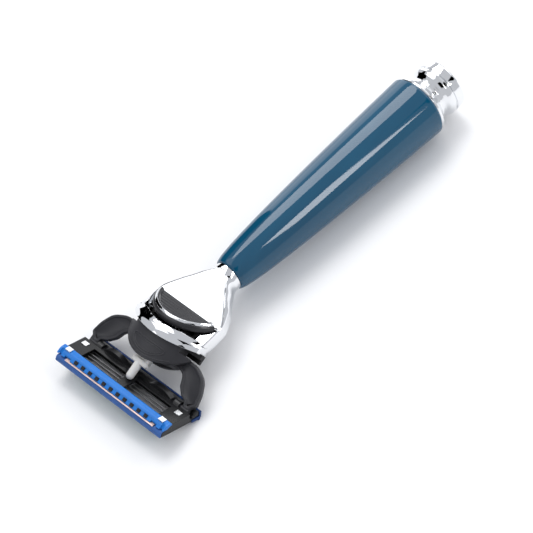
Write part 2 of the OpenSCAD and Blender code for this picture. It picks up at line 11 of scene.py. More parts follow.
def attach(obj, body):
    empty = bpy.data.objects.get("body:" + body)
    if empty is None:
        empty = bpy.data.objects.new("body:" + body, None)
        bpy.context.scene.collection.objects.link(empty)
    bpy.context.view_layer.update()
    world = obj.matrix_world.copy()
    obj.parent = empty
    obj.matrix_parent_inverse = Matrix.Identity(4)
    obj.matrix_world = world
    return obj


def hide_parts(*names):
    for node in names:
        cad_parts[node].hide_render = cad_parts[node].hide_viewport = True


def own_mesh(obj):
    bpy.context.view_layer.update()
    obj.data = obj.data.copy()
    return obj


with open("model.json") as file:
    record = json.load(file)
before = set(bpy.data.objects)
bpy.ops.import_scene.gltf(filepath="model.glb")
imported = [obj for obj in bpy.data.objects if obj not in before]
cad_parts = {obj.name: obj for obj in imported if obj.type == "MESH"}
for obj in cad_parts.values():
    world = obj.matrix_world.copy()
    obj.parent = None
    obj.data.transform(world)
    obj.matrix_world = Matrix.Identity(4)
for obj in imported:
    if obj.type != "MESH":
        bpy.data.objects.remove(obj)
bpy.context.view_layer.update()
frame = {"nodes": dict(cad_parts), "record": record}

nodes = frame["nodes"]
body_of = {n: b for b, members in frame["record"]["behaviour"]["bodies"].items() for n in members}

# ---------------------------------------------------------------- frames
# The same frames as part.scad's: the handle's, the dock's, the deck's and the cartridge's
LAY = radians(0.526848)
HANDLE = (Matrix.Translation(Vector((0, -18.6509, 10.0745)) * 0.001)
          @ Matrix.Rotation(-LAY, 4, "X") @ Matrix.Scale(0.001, 4))
DOCK_AT, DOCK_TILT = Vector((0, -27.4, 0.9)), 24.0
DECK_AT, DECK_TILT = Vector((0, -15.3, 0.75)), 28.7
NOSE_AT, CART_TILT = Vector((0, -47.5, -4.9)), 21.5
DOCK = HANDLE @ Matrix.Translation(DOCK_AT) @ Matrix.Rotation(radians(DOCK_TILT), 4, "X")
DECK = HANDLE @ Matrix.Translation(DECK_AT) @ Matrix.Rotation(radians(-DECK_TILT), 4, "X")
CART = HANDLE @ Matrix.Translation(NOSE_AT) @ Matrix.Rotation(radians(-CART_TILT), 4, "X")
GRIP_LEN, GRIP_FRONT, GRIP_REAR = 74.0, 4.6, 9.4


# ---------------------------------------------------------------- materials
class Shader:
    """A small builder round one Principled shader."""

    def __init__(self, name, **values):
        self.mat = bpy.data.materials.new(name)
        self.mat.use_nodes = True
        self.tree = self.mat.node_tree
        self.bsdf = self.tree.nodes["Principled BSDF"]
        self.place = self.tree.nodes.new("ShaderNodeTexCoord").outputs["Object"]
        for key, value in values.items():
            socket = self.bsdf.inputs[key.replace("_", " ")]
            socket.default_value = (*value, 1) if isinstance(value, tuple) else value

    def node(self, kind, inputs=(), **settings):
        n = self.tree.nodes.new(kind)
        for key, value in settings.items():
            setattr(n, key, value)
        for key, value in dict(inputs).items():
            if hasattr(value, "is_output"):
                self.tree.links.new(value, n.inputs[key])
            else:
                n.inputs[key].default_value = value
        return n

    def link(self, out, socket):
        self.tree.links.new(out, self.bsdf.inputs[socket])

    def noise(self, scale, detail=3.0, stretch=None, rough=0.55, distort=0.0):
        place = self.place
        if stretch:
            place = self.node("ShaderNodeMapping", {"Vector": place, "Scale": stretch}).outputs[0]
        return self.node("ShaderNodeTexNoise", {"Vector": place, "Scale": scale, "Detail": detail,
                                                "Roughness": rough, "Distortion": distort}).outputs["Fac"]

    def spread(self, fac, low, high, a=0.3, b=0.7):
        return self.node("ShaderNodeMapRange", {"Value": fac, "From Min": a, "From Max": b,
                                                "To Min": low, "To Max": high}).outputs[0]

    def mix(self, fac, a, b, blend="MIX"):
        n = self.node("ShaderNodeMix", data_type="RGBA", blend_type=blend)
        for key, value in ((0, fac), (6, a), (7, b)):
            if hasattr(value, "is_output"):
                self.tree.links.new(value, n.inputs[key])
            else:
                n.inputs[key].default_value = (*value, 1) if isinstance(value, tuple) else value
        return n.outputs[2]

    def maths(self, what, a, b=0.0):
        n = self.node("ShaderNodeMath", operation=what)
        for key, value in ((0, a), (1, b)):
            if hasattr(value, "is_output"):
                self.tree.links.new(value, n.inputs[key])
            else:
                n.inputs[key].default_value = value
        return n.outputs[0]

    def bump(self, height, distance, strength=1.0, under=None):
        links = {"Height": height, "Distance": distance, "Strength": strength}
        if under:
            links["Normal"] = under
        return self.node("ShaderNodeBump", links).outputs[0]

    def edge(self, low=0.5, high=0.56):
        """1 along convex edges, from the mesh's own pointiness."""
        g = self.node("ShaderNodeNewGeometry").outputs["Pointiness"]
        return self.spread(g, 0.0, 1.0, low, high)


def chrome(name, tint=(0.86, 0.87, 0.885), rough=0.035):
    s = Shader(name, Metallic=1.0, Base_Color=tint)
    haze = s.noise(180, 4)
    s.link(s.mix(s.spread(haze, 0, 1), tint, tuple(c * 0.965 for c in tint)), "Base Color")
    smear = s.noise(420, 5, (1, 0.15, 1))
    s.link(s.spread(smear, rough * 0.7, rough * 1.7), "Roughness")
    polish = s.noise(5200, 2, (1, 0.12, 1))
    s.link(s.bump(polish, 0.0000004, 0.2), "Normal")
    return s.mat


def brushed(name, tint, rough=0.28, grain=(0.03, 1, 1), anisotropic=0.5):
    s = Shader(name, Metallic=1.0, Base_Color=tint, Anisotropic=anisotropic)
    lines = s.noise(9000, 3, grain)
    s.link(s.mix(s.spread(lines, 0, 1), tint, tuple(c * 0.8 for c in tint)), "Base Color")
    s.link(s.spread(lines, rough * 0.75, rough * 1.3), "Roughness")
    s.link(s.bump(lines, 0.000004, 0.5), "Normal")
    return s.mat


def moulded(name, colour, rough=0.4, grain=0.000006, lift=1.35, grain_scale=5200, coat=0.0, worn=0.25,
            sub=0.0, shine=0.3):
    """Injection-moulded plastic: fine spark grain, slight flow marks and paler rubbed edges."""
    s = Shader(name, Base_Color=colour, Specular_IOR_Level=shine, Coat_Weight=coat, Coat_Roughness=0.12)
    pale = tuple(min(1.0, c * lift + 0.012) for c in colour)
    flow = s.noise(240, 4, (1, 0.5, 1), distort=0.6)
    body = s.mix(s.spread(flow, 0, 1), colour, tuple(c * 0.82 for c in colour))
    s.link(s.mix(s.maths("MULTIPLY", s.edge(), worn), body, pale), "Base Color")
    fine = s.noise(grain_scale, 4)
    s.link(s.spread(fine, rough * 0.85, rough * 1.15), "Roughness")
    s.link(s.bump(fine, grain, 0.6), "Normal")
    if sub:
        s.bsdf.inputs["Subsurface Weight"].default_value = sub
        s.bsdf.inputs["Subsurface Scale"].default_value = 0.0006
        s.bsdf.inputs["Subsurface Radius"].default_value = (1.0, 0.8, 0.6)
    return s.mat


def resin(name):
    """Cast, polished resin: a deep blue with faint clouding under a clear gloss."""
    s = Shader(name, Specular_IOR_Level=0.5, IOR=1.5)
    deep, mid = (0.0032, 0.060, 0.122), (0.0045, 0.075, 0.146)
    cloud = s.noise(75, 5, (1, 0.35, 1), distort=1.2)
    vein = s.noise(26, 3, (1, 0.2, 1), distort=2.0)
    mixed = s.mix(s.spread(cloud, 0, 1), deep, mid)
    s.link(s.mix(s.spread(vein, 0, 0.35, 0.45, 0.75), mixed, (0.007, 0.091, 0.170)), "Base Color")
    smear = s.noise(300, 5, (1, 0.3, 1))
    s.link(s.spread(smear, 0.035, 0.06), "Roughness")
    hair = s.noise(2600, 2, (1, 0.05, 1))
    s.link(s.bump(hair, 0.0000015, 0.12), "Normal")
    return s.mat


CHROME = chrome("polished_chrome")
RESIN = resin("petrol_resin")
STEEL = brushed("plain_steel", (0.55, 0.55, 0.56))
BLADE = brushed("honed_steel", (0.82, 0.82, 0.84), 0.38)
TRIM_STEEL = brushed("warm_honed_steel", (0.42, 0.32, 0.30), 0.36)
ALUMINIUM = brushed("rolled_aluminium", (0.93, 0.94, 0.95), 0.3, (0.3, 1, 1), 0.3)
BLACK = moulded("black_plastic", (0.0065, 0.0065, 0.0075), 0.34)
HOUSING = moulded("housing_plastic", (0.0060, 0.0062, 0.0072), 0.30, coat=0.12)
BUTTON = moulded("button_plastic", (0.020, 0.020, 0.023), 0.30, grain=0.000008, coat=0.2)
YOKE = moulded("graphite_plastic", (0.0300, 0.0300, 0.0345), 0.42, grain=0.00001, worn=0.35)
GREY = moulded("grey_plastic", (0.72, 0.71, 0.69), 0.36, sub=0.15, lift=1.15)
COMB = moulded("comb_blue_plastic", (0.0030, 0.165, 0.58), 0.3, coat=0.1, lift=1.4, worn=0.3)
LIP = moulded("lip_blue_plastic", (0.034, 0.112, 0.35), 0.42, lift=1.4)
# The blade supports' steel is darker than the plain steel because they sit in shade inside the housing:
# painted shade.
SHADED_SUPPORT_STEEL = brushed("support_steel_painted_shade", (0.34, 0.34, 0.35), 0.42)
GUARD = moulded("guard_elastomer", (0.0055, 0.036, 0.150), 0.55, grain=0.000012)
STRIP = moulded("lubricating_polymer", (0.30, 0.56, 0.54), 0.5, grain=0.00002, grain_scale=2600, sub=0.2)
SEAL = moulded("seal_rubber", (0.012, 0.012, 0.012), 0.6, grain=0.000012)


# ---------------------------------------------------------------- mesh tools
def new_object(name, mesh, mat):
    mesh.materials.clear()
    mesh.materials.append(mat)
    obj = bpy.data.objects.new(name, mesh)
    bpy.context.scene.collection.objects.link(obj)
    return obj


def tidy_mesh(mesh, merge=1e-7, angle=32.0):
    bm = bmesh.new()
    bm.from_mesh(mesh)
    bmesh.ops.remove_doubles(bm, verts=bm.verts, dist=merge)
    bmesh.ops.dissolve_degenerate(bm, dist=merge, edges=bm.edges)
    bmesh.ops.recalc_face_normals(bm, faces=bm.faces)
    bm.to_mesh(mesh)
    bm.free()
    mesh.shade_smooth()
    mesh.set_sharp_from_angle(angle=radians(angle))


def from_lists(name, verts, faces, mat, at, angle=32.0):
    mesh = bpy.data.meshes.new(name)
    mesh.from_pydata([tuple(at @ Vector(v)) for v in verts], [], faces)
    tidy_mesh(mesh, angle=angle)
    return new_object(name, mesh, mat)


def loops_to_faces(count, size, closed_ends=True, ring=False):
    """Quads between neighbouring loops of `size` points, with a cap on each end."""
    faces = []
    for i in range(count if ring else count - 1):
        a, b = i * size, ((i + 1) % count) * size
        for k in range(size):
            n = (k + 1) % size
            faces.append((a + k, a + n, b + n, b + k))
    if closed_ends and not ring:
        faces.append(tuple(reversed(range(size))))
        faces.append(tuple(range((count - 1) * size, count * size)))
    return faces


def rounded(points, steps=5, closed=True):
    """Corners given as (a, b, radius) become arcs."""
    out = []
    count = len(points)
    for i, (a, b, r) in enumerate(points):
        p = Vector((a, b))
        if r <= 0 or (not closed and i in (0, count - 1)):
            out.append((a, b))
            continue
        u = Vector(points[i - 1][:2]) - p
        v = Vector(points[(i + 1) % count][:2]) - p
        room = 0.49 * min(u.length, v.length)
        u.normalize()
        v.normalize()
        turn = acos(max(-1, min(1, u.dot(v))))
        cut = min(r / max(tan(turn / 2), 1e-6), room)
        r = cut * tan(turn / 2)
        start, end = p + u * cut, p + v * cut
        centre = p + (u + v).normalized() * (r / sin(turn / 2))
        a0 = atan2(*(start - centre).yx)
        a1 = atan2(*(end - centre).yx)
        d = (a1 - a0 + pi) % (2 * pi) - pi
        out += [(centre.x + r * cos(a0 + d * k / steps), centre.y + r * sin(a0 + d * k / steps))
                for k in range(steps + 1)]
    return out


def lathe(name, profile, mat, at=HANDLE, sides=192, steps=5, angle=32.0, ring=False):
    """Turned about the grip's axis from (radius, distance back, corner radius)."""
    line = rounded(profile, steps, closed=ring)
    turns = [2 * pi * k / sides for k in range(sides)]
    verts = [(r * cos(t), y, r * sin(t)) for r, y in line for t in turns]
    return from_lists(name, verts, loops_to_faces(len(line), sides, True, ring), mat, at, angle)


def inset(points, d):
    """A closed outline moved inwards by d, with mitred corners."""
    n = len(points)
    doubled_area = sum(a[0] * b[1] - b[0] * a[1] for a, b in zip(points, [*points[1:], points[0]]))
    side = 1 if doubled_area > 0 else -1
    out = []
    for i in range(n):
        p, q, r = (Vector(points[j % n]) for j in (i - 1, i, i + 1))
        u, v = (q - p), (r - q)
        if u.length < 1e-9 or v.length < 1e-9:
            out.append(tuple(q))
            continue
        u.normalize()
        v.normalize()
        nu, nv = Vector((-u.y, u.x)) * side, Vector((-v.y, v.x)) * side
        m = nu + nv
        m = m / max(m.length_squared / 2, 0.4)
        out.append(tuple(q + m * d))
    return out


def prism(name, outline, low, high, mat, at, axis="X", edge=0.1, steps=3, angle=32.0):
    """An outline drawn in the plane square to axis and stretched along it, with rounded end edges."""
    loops = []
    for k in range(steps + 1):
        t = pi / 2 * k / steps
        loops.append((inset(outline, edge * (1 - sin(t))), low + edge * (1 - cos(t))))
    for k in range(steps, -1, -1):
        t = pi / 2 * k / steps
        loops.append((inset(outline, edge * (1 - sin(t))), high - edge * (1 - cos(t))))
    place = {
        "X": lambda a, b, h: (h, a, b),
        "Y": lambda a, b, h: (a, h, b),
        "Z": lambda a, b, h: (a, b, h),
    }[axis]
    verts = [place(a, b, h) for loop, h in loops for a, b in loop]
    return from_lists(name, verts, loops_to_faces(len(loops), len(outline)), mat, at, angle)


def box(name, a, b, mat, at, edge=0.05):
    outline = [(a[1], a[2]), (b[1], a[2]), (b[1], b[2]), (a[1], b[2])]
    r = min(edge, 0.49 * min(b[i] - a[i] for i in range(3)))
    return prism(name, rounded([(*p, r) for p in outline], 3), a[0], b[0], mat, at, "X", r)


def rod(a, b, r, at, sides=48, name="cutter", mat=None):
    """A plain cylinder between two local points."""
    a, b = Vector(a), Vector(b)
    turn = (b - a).to_track_quat("Z", "Y").to_matrix()
    verts = [tuple(p + turn @ Vector((r * cos(2 * pi * k / sides), r * sin(2 * pi * k / sides), 0)))
             for p in (a, b) for k in range(sides)]
    return from_lists(name, verts, loops_to_faces(2, sides), mat or BLACK, at)


def tube(name, points, r, mat, at, middle, closed=True, sides=12):
    """A round bead along a line of points that runs round or beside the axis at height `middle`."""
    pts = [Vector(p) for p in points]
    n = len(pts)
    turns = [2 * pi * k / sides for k in range(sides)]
    loops = []
    for i, p in enumerate(pts):
        a = pts[i - 1] if closed or i else p
        b = pts[(i + 1) % n] if closed or i < n - 1 else p
        d = (b - a).normalized()
        up = Vector((p.x, 0, p.z - middle)).normalized()
        side_v = d.cross(up).normalized()
        up = side_v.cross(d)
        for t in turns:
            loops.append(tuple(p + (side_v * cos(t) + up * sin(t)) * r))
    return from_lists(name, loops, loops_to_faces(n, sides, not closed, closed), mat, at)


def combine(obj, others, what="DIFFERENCE"):
    """Exact booleans, applied one by one. The others are used up."""
    for other in others:
        m = obj.modifiers.new("b", "BOOLEAN")
        m.operation, m.solver, m.object = what, "EXACT", other
        bpy.context.view_layer.update()
        done = bpy.data.meshes.new_from_object(obj.evaluated_get(bpy.context.evaluated_depsgraph_get()))
        obj.modifiers.clear()
        obj.data = done
        bpy.data.objects.remove(other)
    return obj


def bevel(obj, width, angle=40.0, segments=2, clamp=False, smooth=32.0):
    """Rounds the edges sharper than angle by width millimetres."""
    mat = obj.data.materials[0]
    m = obj.modifiers.new("bevel", "BEVEL")
    m.width, m.segments, m.limit_method, m.angle_limit = width * 0.001, segments, "ANGLE", radians(angle)
    m.use_clamp_overlap, m.loop_slide, m.harden_normals, m.miter_outer = clamp, False, True, "MITER_ARC"
    bpy.context.view_layer.update()
    done = bpy.data.meshes.new_from_object(obj.evaluated_get(bpy.context.evaluated_depsgraph_get()))
    obj.modifiers.clear()
    obj.data = done
    obj.data.materials.clear()
    obj.data.materials.append(mat)
    return obj


def copy_of(node, mat, width=0.08, angle=35.0, segments=2, name=None):
    """The CAD node's own solid as a piece, with its edges rounded."""
    mesh = nodes[node].data.copy()
    if "custom_normal" in mesh.attributes:
        mesh.attributes.remove(mesh.attributes["custom_normal"])
    bm = bmesh.new()
    bm.from_mesh(mesh)
    bmesh.ops.remove_doubles(bm, verts=bm.verts, dist=2e-7)
    bmesh.ops.dissolve_limit(bm, angle_limit=radians(0.6), verts=bm.verts, edges=bm.edges,
                             use_dissolve_boundaries=False)
    bmesh.ops.recalc_face_normals(bm, faces=bm.faces)
    bm.to_mesh(mesh)
    bm.free()
    mesh.shade_smooth()
    mesh.set_sharp_from_angle(angle=radians(32))
    obj = new_object(name or node + "_piece", mesh, mat)
    if width:
        bevel(obj, width, angle, segments)
    return obj


def stand_for(obj, *names, body=None):
    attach(obj, body or body_of[names[0]])
    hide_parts(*names)
    return obj


# ---------------------------------------------------------------- grip and tail
def grip_r(t):
    return GRIP_FRONT + (GRIP_REAR - GRIP_FRONT) * sqrt(t)


EDGE_R = 0.6
GRIP_STEPS = 110
body_len = GRIP_LEN - EDGE_R
side = [(grip_r(t), t * body_len, 0) for t in ((i / GRIP_STEPS) ** 2 for i in range(2, GRIP_STEPS + 1))]
grip_line = [(2.0, 0, 0), (GRIP_FRONT + 0.08, 0, 0.1)] + side
for t in np.radians(range(10, 91, 10)):
    grip_line.append((GRIP_REAR - EDGE_R + EDGE_R * cos(t), body_len + EDGE_R * sin(t), 0))
grip_line += [(2.0, GRIP_LEN, 0)]
grip = lathe("grip_body", grip_line, RESIN, ring=True, sides=256)
stand_for(grip, "grip")

ROD_ROOM_R = 1.55
COLLAR_T = 3.0
COLLAR_AT = HANDLE @ Matrix.Translation((0, GRIP_LEN, 0))
collar = lathe("collar", [
    (ROD_ROOM_R, 0, 0), (8.75, 0, 0), (9.0, 0.3, 0.12), (9.0, 0.8, 0.35), (7.8, 1.8, 0.5),
    (7.1, 2.55, 0.12), (7.1, COLLAR_T, 0.1), (ROD_ROOM_R, COLLAR_T, 0),
], CHROME, COLLAR_AT, ring=True)
stand_for(collar, "end_collar")

CAP_AT = HANDLE @ Matrix.Translation((0, GRIP_LEN + COLLAR_T, 0))
cap = lathe("finial", [
    (3.6, 0, 0), (6.75, 0, 0.1), (6.75, 0.28, 0.08), (6.4, 0.34, 0.05), (6.4, 0.5, 0), (6.4, 1.0, 0.5),
    (6.75, 1.55, 0.6), (7.5, 2.35, 0.5), (7.9, 3.2, 0.5), (7.9, 4.0, 0.08), (7.42, 4.15, 0.08),
    (7.42, 4.55, 0.08), (7.9, 4.7, 0.1), (7.9, 7.0, 0.3), (7.72, 7.42, 0.2), (7.3, 7.6, 0.2),
    (6.5, 7.6, 0.12), (6.2, 7.25, 0.12), (5.4, 7.22, 0),
    (4.6, 7.25, 0), (4.4, 7.12, 0.08), (0.0001, 7.12, 0), (0.0001, 2.3, 0), (3.6, 2.3, 0),
], CHROME, CAP_AT, ring=True, angle=28)
stand_for(cap, "end_cap")


# ---------------------------------------------------------------- head
def pchip(xs, ys, x):
    """Monotone cubic through the keys. ys may hold rows of values."""
    xs, ys = np.asarray(xs, float), np.asarray(ys, float)
    h = np.diff(xs)
    d = np.diff(ys, axis=0) / (h if ys.ndim == 1 else h[:, None])
    m = np.zeros_like(ys)
    m[0], m[-1] = d[0], d[-1]
    for i in range(1, len(xs) - 1):
        same = d[i - 1] * d[i] > 0
        w1, w2 = 2 * h[i] + h[i - 1], h[i] + 2 * h[i - 1]
        with np.errstate(divide="ignore", invalid="ignore"):
            v = (w1 + w2) / (w1 / d[i - 1] + w2 / d[i])
        m[i] = np.where(same, v, 0.0)
    i = int(np.clip(np.searchsorted(xs, x) - 1, 0, len(xs) - 2))
    t = (x - xs[i]) / h[i]
    return ((1 + 2 * t) * (1 - t) ** 2 * ys[i] + t * (1 - t) ** 2 * h[i] * m[i]
            + t * t * (3 - 2 * t) * ys[i + 1] + t * t * (t - 1) * h[i] * m[i + 1])


def loaf(half_w, half_h, top_r, low_r, soft):
    """Half of a section, from the bottom centre to the top centre, as radius against angle."""
    a = asin(min(1.0, half_w / top_r))
    cut = min(0.9 * a, 1.3 * soft / top_r)
    z = half_h - top_r
    line = [(0, -half_h), (half_w - low_r, -half_h)]
    for t in np.linspace(0, pi / 2, 24):
        line.append((half_w - low_r + low_r * sin(t), -half_h + low_r - low_r * cos(t)))
    if soft:
        shoulder = rounded([(half_w, -half_h + low_r, 0), (half_w, z + top_r * cos(a), soft),
                            (top_r * sin(a - cut), z + top_r * cos(a - cut), 0)], 10, closed=False)
        line += shoulder[1:]
    line += [(top_r * sin(t), z + top_r * cos(t)) for t in np.linspace(a - (cut if soft else 0), 0, 40)]
    dense = []
    for p, q in zip(line, line[1:]):
        dense += [tuple(np.array(p) + (np.array(q) - p) * k / 8) for k in range(8)]
    dense = np.array(dense + [line[-1]])
    angle = np.arctan2(dense[:, 1], dense[:, 0])
    order = np.argsort(angle)
    return np.interp(THETA, angle[order], np.hypot(dense[:, 0], dense[:, 1])[order])


THETA = np.linspace(-pi / 2, pi / 2, 361)
KEYS = [  # along, y, z, tilt, half width, half height, top radius, lower corner, shoulder's softness
    (-1.6, 0, 0, 0, 4.4, 4.4, 4.4, 4.4, 0),
    (0, -1.6, 0, 0, 4.4, 4.4, 4.4, 4.4, 0),
    (3.6, -5.2, 0.2, 0, 6.35, 4.9, 7, 3.7, 0.8),
    (8, -9.6, 0.2, 3, 9.75, 5.0, 13, 3.2, 1.0),
    (12.9, -14.5, 0.3, 8, 11.85, 5.25, 17, 2.6, 1.0),
    (21.86, -23.46, 0.41, 24, 12.2, 5.55, 16.5, 2.2, 0.5),
    (24.31, -25.70, -0.586, 24, 12.2, 5.55, 16.5, 2.2, 0.5)]
KEY_U = [k[0] for k in KEYS]
KEY_R = np.array([loaf(*k[4:]) for k in KEYS])
NECK_U, NOSE_U = KEY_U[0], KEY_U[-1]
CURL_U, CURL_R = 19.0, 36
FACET_TILT = 14.6
FACET_SOFT, DECK_SOFT, SOFT_FADE = 1.05, 0.2, 1.5


def ring_frame(u):
    y, z, tilt = (pchip(KEY_U, [k[i] for k in KEYS], u) for i in (1, 2, 3))
    return y, z, radians(tilt)


def clip_height(y, z, tilt):
    """How high the facet or the deck lets a section rise, along the section's own upright."""
    ny, nz = DECK_AT.y, DECK_AT.z
    best = 99.0
    for slope, back in ((radians(FACET_TILT), True), (radians(-DECK_TILT), False)):
        # plane: z = nz + (y - ny) * tan(slope); upright: (y - h sin, z + h cos)
        h = (nz + (y - ny) * tan(slope) - z) / (cos(tilt) + sin(tilt) * tan(slope))
        at_y = y - h * sin(tilt)
        if (at_y >= ny - 1e-6) == back or abs(at_y - ny) < 1e-6:
            best = min(best, h)
    return best


def head_ring(u, soft=DECK_SOFT, under=70, flat=16, arc=8):
    """One closed section of the head, cut flat by the facet or the deck, with that cut's edges softened."""
    y, z, tilt = ring_frame(u)
    r = pchip(KEY_U, KEY_R, u)
    px, pz = r * np.cos(THETA), r * np.sin(THETA)
    h = clip_height(y, z, tilt)
    if h < pz.max() - 1e-4:
        k = int(np.argmax(pz > h))
        t = (h - pz[k - 1]) / (pz[k] - pz[k - 1])
        cx = px[k - 1] + t * (px[k] - px[k - 1])
        curve = np.column_stack((np.append(px[:k], cx), np.append(pz[:k], h)))
        rise = np.array([px[k] - px[k - 1], pz[k] - pz[k - 1]])
        turn = acos(max(-1, min(1, -rise[0] / np.linalg.norm(rise))))
        cut = min(soft * tan(turn / 2) + 0.02, 0.4 * cx)
    else:
        curve, cut, cx, h = np.column_stack((px, pz)), 0.0, 0.0, pz[-1]
    steps = np.append(0, np.cumsum(np.hypot(*np.diff(curve, axis=0).T)))
    s = np.linspace(0, steps[-1] - cut, under + 1)
    half = list(zip(np.interp(s, steps, curve[:, 0]), np.interp(s, steps, curve[:, 1])))
    start, corner, end = np.array(half[-1]), np.array((cx, h)), np.array((cx - cut, h))
    for t in np.linspace(0, 1, arc + 1)[1:]:
        half.append(tuple((1 - t) ** 2 * start + 2 * t * (1 - t) * corner + t * t * end))
    half += [((cx - cut) * (1 - k / flat), h) for k in range(1, flat + 1)]
    loop = half + [(-x, w) for x, w in reversed(half[1:-1])]
    curl = min(1.0, max(0.0, (u - CURL_U) / (NOSE_U - CURL_U)))
    curl = curl * curl * (3 - 2 * curl)
    out = []
    for x, w in loop:
        back = (CURL_R - sqrt(CURL_R * CURL_R - x * x)) * curl
        out.append((x, y - w * sin(tilt) + back * cos(tilt), z + w * cos(tilt) + back * sin(tilt)))
    return out


def notch_ring():
    """How far along the head the ring lies that meets the step between facet and deck."""
    lo, hi = 12.0, 15.0
    for _ in range(50):
        u = (lo + hi) / 2
        y, z, tilt = ring_frame(u)
        ahead = (DECK_AT.y - y) * cos(tilt) + (DECK_AT.z - z) * sin(tilt)
        lo, hi = (u, hi) if ahead < 0 else (lo, u)
    return u


notch = notch_ring()
stops = sorted({round(float(v), 5) for v in [*np.linspace(0, notch, 46), *np.linspace(notch, NOSE_U, 34)]})
neck, CHAMFER, NARROWER = head_ring(NECK_U), 0.15, 0.966
rings = [[(x * NARROWER, 0.0, w * NARROWER) for x, _, w in neck], [(x, -CHAMFER, w) for x, _, w in neck]]
for u in stops:
    on_facet = min(1.0, max(0.0, (notch - u) / SOFT_FADE))
    rings.append(head_ring(u, DECK_SOFT + (FACET_SOFT - DECK_SOFT) * on_facet))
verts = [p for ring in rings for p in ring]
faces = loops_to_faces(len(rings), len(rings[0]), closed_ends=False)
size = len(rings[0])
faces.append(tuple(reversed(range(size))))
middle = Vector(DOCK_AT) + Matrix.Rotation(radians(DOCK_TILT), 3, "X") @ Vector((0, 0.95, -2.0))
verts.append(tuple(middle))
last = (len(rings) - 1) * size
faces += [(last + k, last + (k + 1) % size, len(verts) - 1) for k in range(size)]
head = from_lists("head", verts, faces, CHROME, HANDLE)


def d_outline(r, centre, back, count=96, across=24):
    """A disc in front of a straight back edge, seen from above the deck."""
    a0 = asin((back - centre) / r)
    arc = [(r * cos(a), centre + r * sin(a)) for a in np.linspace(a0, -pi - a0, count + 1)]
    x = arc[-1][0]
    return arc + [(x + 2 * abs(x) * k / across, back) for k in range(1, across)]


ARCH_Z, ROOM_R, ROOM_BACK = -13.0, 15.7, 3.3
CAVE_HALF_W, CAVE_FLOOR = 9.9, -6.4
WELL_R, WELL_FLOOR = 11.7, -2.49
SCREW_ROOM_R = 1.05
room = rod((0, -6, ARCH_Z), (0, ROOM_BACK, ARCH_Z), ROOM_R, DOCK, 240)
well = prism("cutter", d_outline(WELL_R, 1.3, -0.3), WELL_FLOOR, 8, BLACK, DECK, "Z", 0.001, 1)
cave_turn = asin(CAVE_HALF_W / ROOM_R)
roof = [(ROOM_R * sin(t), ARCH_Z + ROOM_R * cos(t)) for t in np.linspace(cave_turn, -cave_turn, 40)]
cave = prism("cutter", [(-CAVE_HALF_W, CAVE_FLOOR), (CAVE_HALF_W, CAVE_FLOOR)] + roof, 0.5, 8.8, BLACK, DOCK,
             "Y", 0.001, 1)
screw_room = rod((0, 5.3, -12), (0, 5.3, -5.75), SCREW_ROOM_R, DOCK)
rod_room = rod((0, -8.3, 0), (0, 1, 0), ROD_ROOM_R, HANDLE)
combine(head, [room, cave, well, screw_room, rod_room])
bevel(head, 0.09, 50)
stand_for(head, "head_shell")

insert = copy_of("dock_insert", BLACK, 0.1)
stand_for(insert, "dock_insert")


# ---------------------------------------------------------------- button
def stack(name, levels, mat, at, angle=32.0):
    """Closed outlines of the same count, one above the other."""
    verts = [(x, y, z) for loop, z in levels for x, y in loop]
    return from_lists(name, verts, loops_to_faces(len(levels), len(levels[0][0])), mat, at, angle)


BUTTON_Y, BUTTON_BACK = 2.4, -0.8
plan = [(11.3, -0.6), (11.4, -0.5), (11.4, 0.55), (11.36, 0.68), (11.24, 0.8), (10.88, 1.2)]
button = stack("button", [(d_outline(r, BUTTON_Y, BUTTON_BACK), z) for r, z in plan], BUTTON, DECK)
rim = rounded([(10.95, 1.1, 0), (10.5, 1.66, 0.12), (10.35, 1.75, 0.1), (9.85, 1.75, 0.12),
               (9.6, 1.5, 0.1), (9.5, 1.1, 0)], 5)
# A thin chrome band on the rim's chamfer stands in for the highlight along the plastic button's rim: a
# painted highlight.
painted_rim_highlight_line = rounded([(10.86, 1.16, 0.04), (10.98, 1.22, 0.06), (10.48, 1.79, 0.08), (10.3, 1.78, 0.04),
                     (10.4, 1.6, 0)], 4)
back_turn = asin((BUTTON_BACK - BUTTON_Y) / rim[0][0])
arc_angles = np.linspace(back_turn, -pi - back_turn, 121)


def crescent(name, line, mat):
    """A profile of (radius, height) swept round the button's front and cut off square at its back."""
    verts = [(r * cos(a), min(BUTTON_Y + r * sin(a), BUTTON_BACK), z) for a in arc_angles for r, z in line]
    return from_lists(name, verts, loops_to_faces(len(arc_angles), len(line)), mat, DECK)


crown = crescent("button_rim", rim, BUTTON)
# The chrome band on the rim is a painted highlight.
painted_rim_highlight = crescent("button_rim_painted_highlight", painted_rim_highlight_line, CHROME)
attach(painted_rim_highlight, "button")
stand_for(button, "release_button")
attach(crown, "button")
DISH_R, RIDGES, RIDGE_PITCH = 9.55, 6, 1.0
for i in range(1, RIDGES + 1):
    y = BUTTON_BACK - i * RIDGE_PITCH
    reach = sqrt(DISH_R ** 2 - (y - BUTTON_Y) ** 2)
    lift = 1.27 - 0.005 * (i - 3.5) ** 2
    profile = rounded([(y - 0.44, 1.1, 0), (y + 0.44, 1.1, 0), (y + 0.36, lift, 0.08),
                       (y - 0.36, lift, 0.08)], 5)
    bar = prism(f"button_ridge_{i}", profile, -reach, reach, BUTTON, DECK, "X", 0.1)
    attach(bar, "button")
fork = copy_of("ejector_fork", BLACK, 0.08)
stand_for(fork, "ejector_fork")


# ---------------------------------------------------------------- springs
def span(node, at):
    """A CAD node's box in a local frame."""
    back = at.inverted() @ nodes[node].matrix_world
    points = np.array([back @ v.co for v in nodes[node].data.vertices])
    return points.min(axis=0), points.max(axis=0)


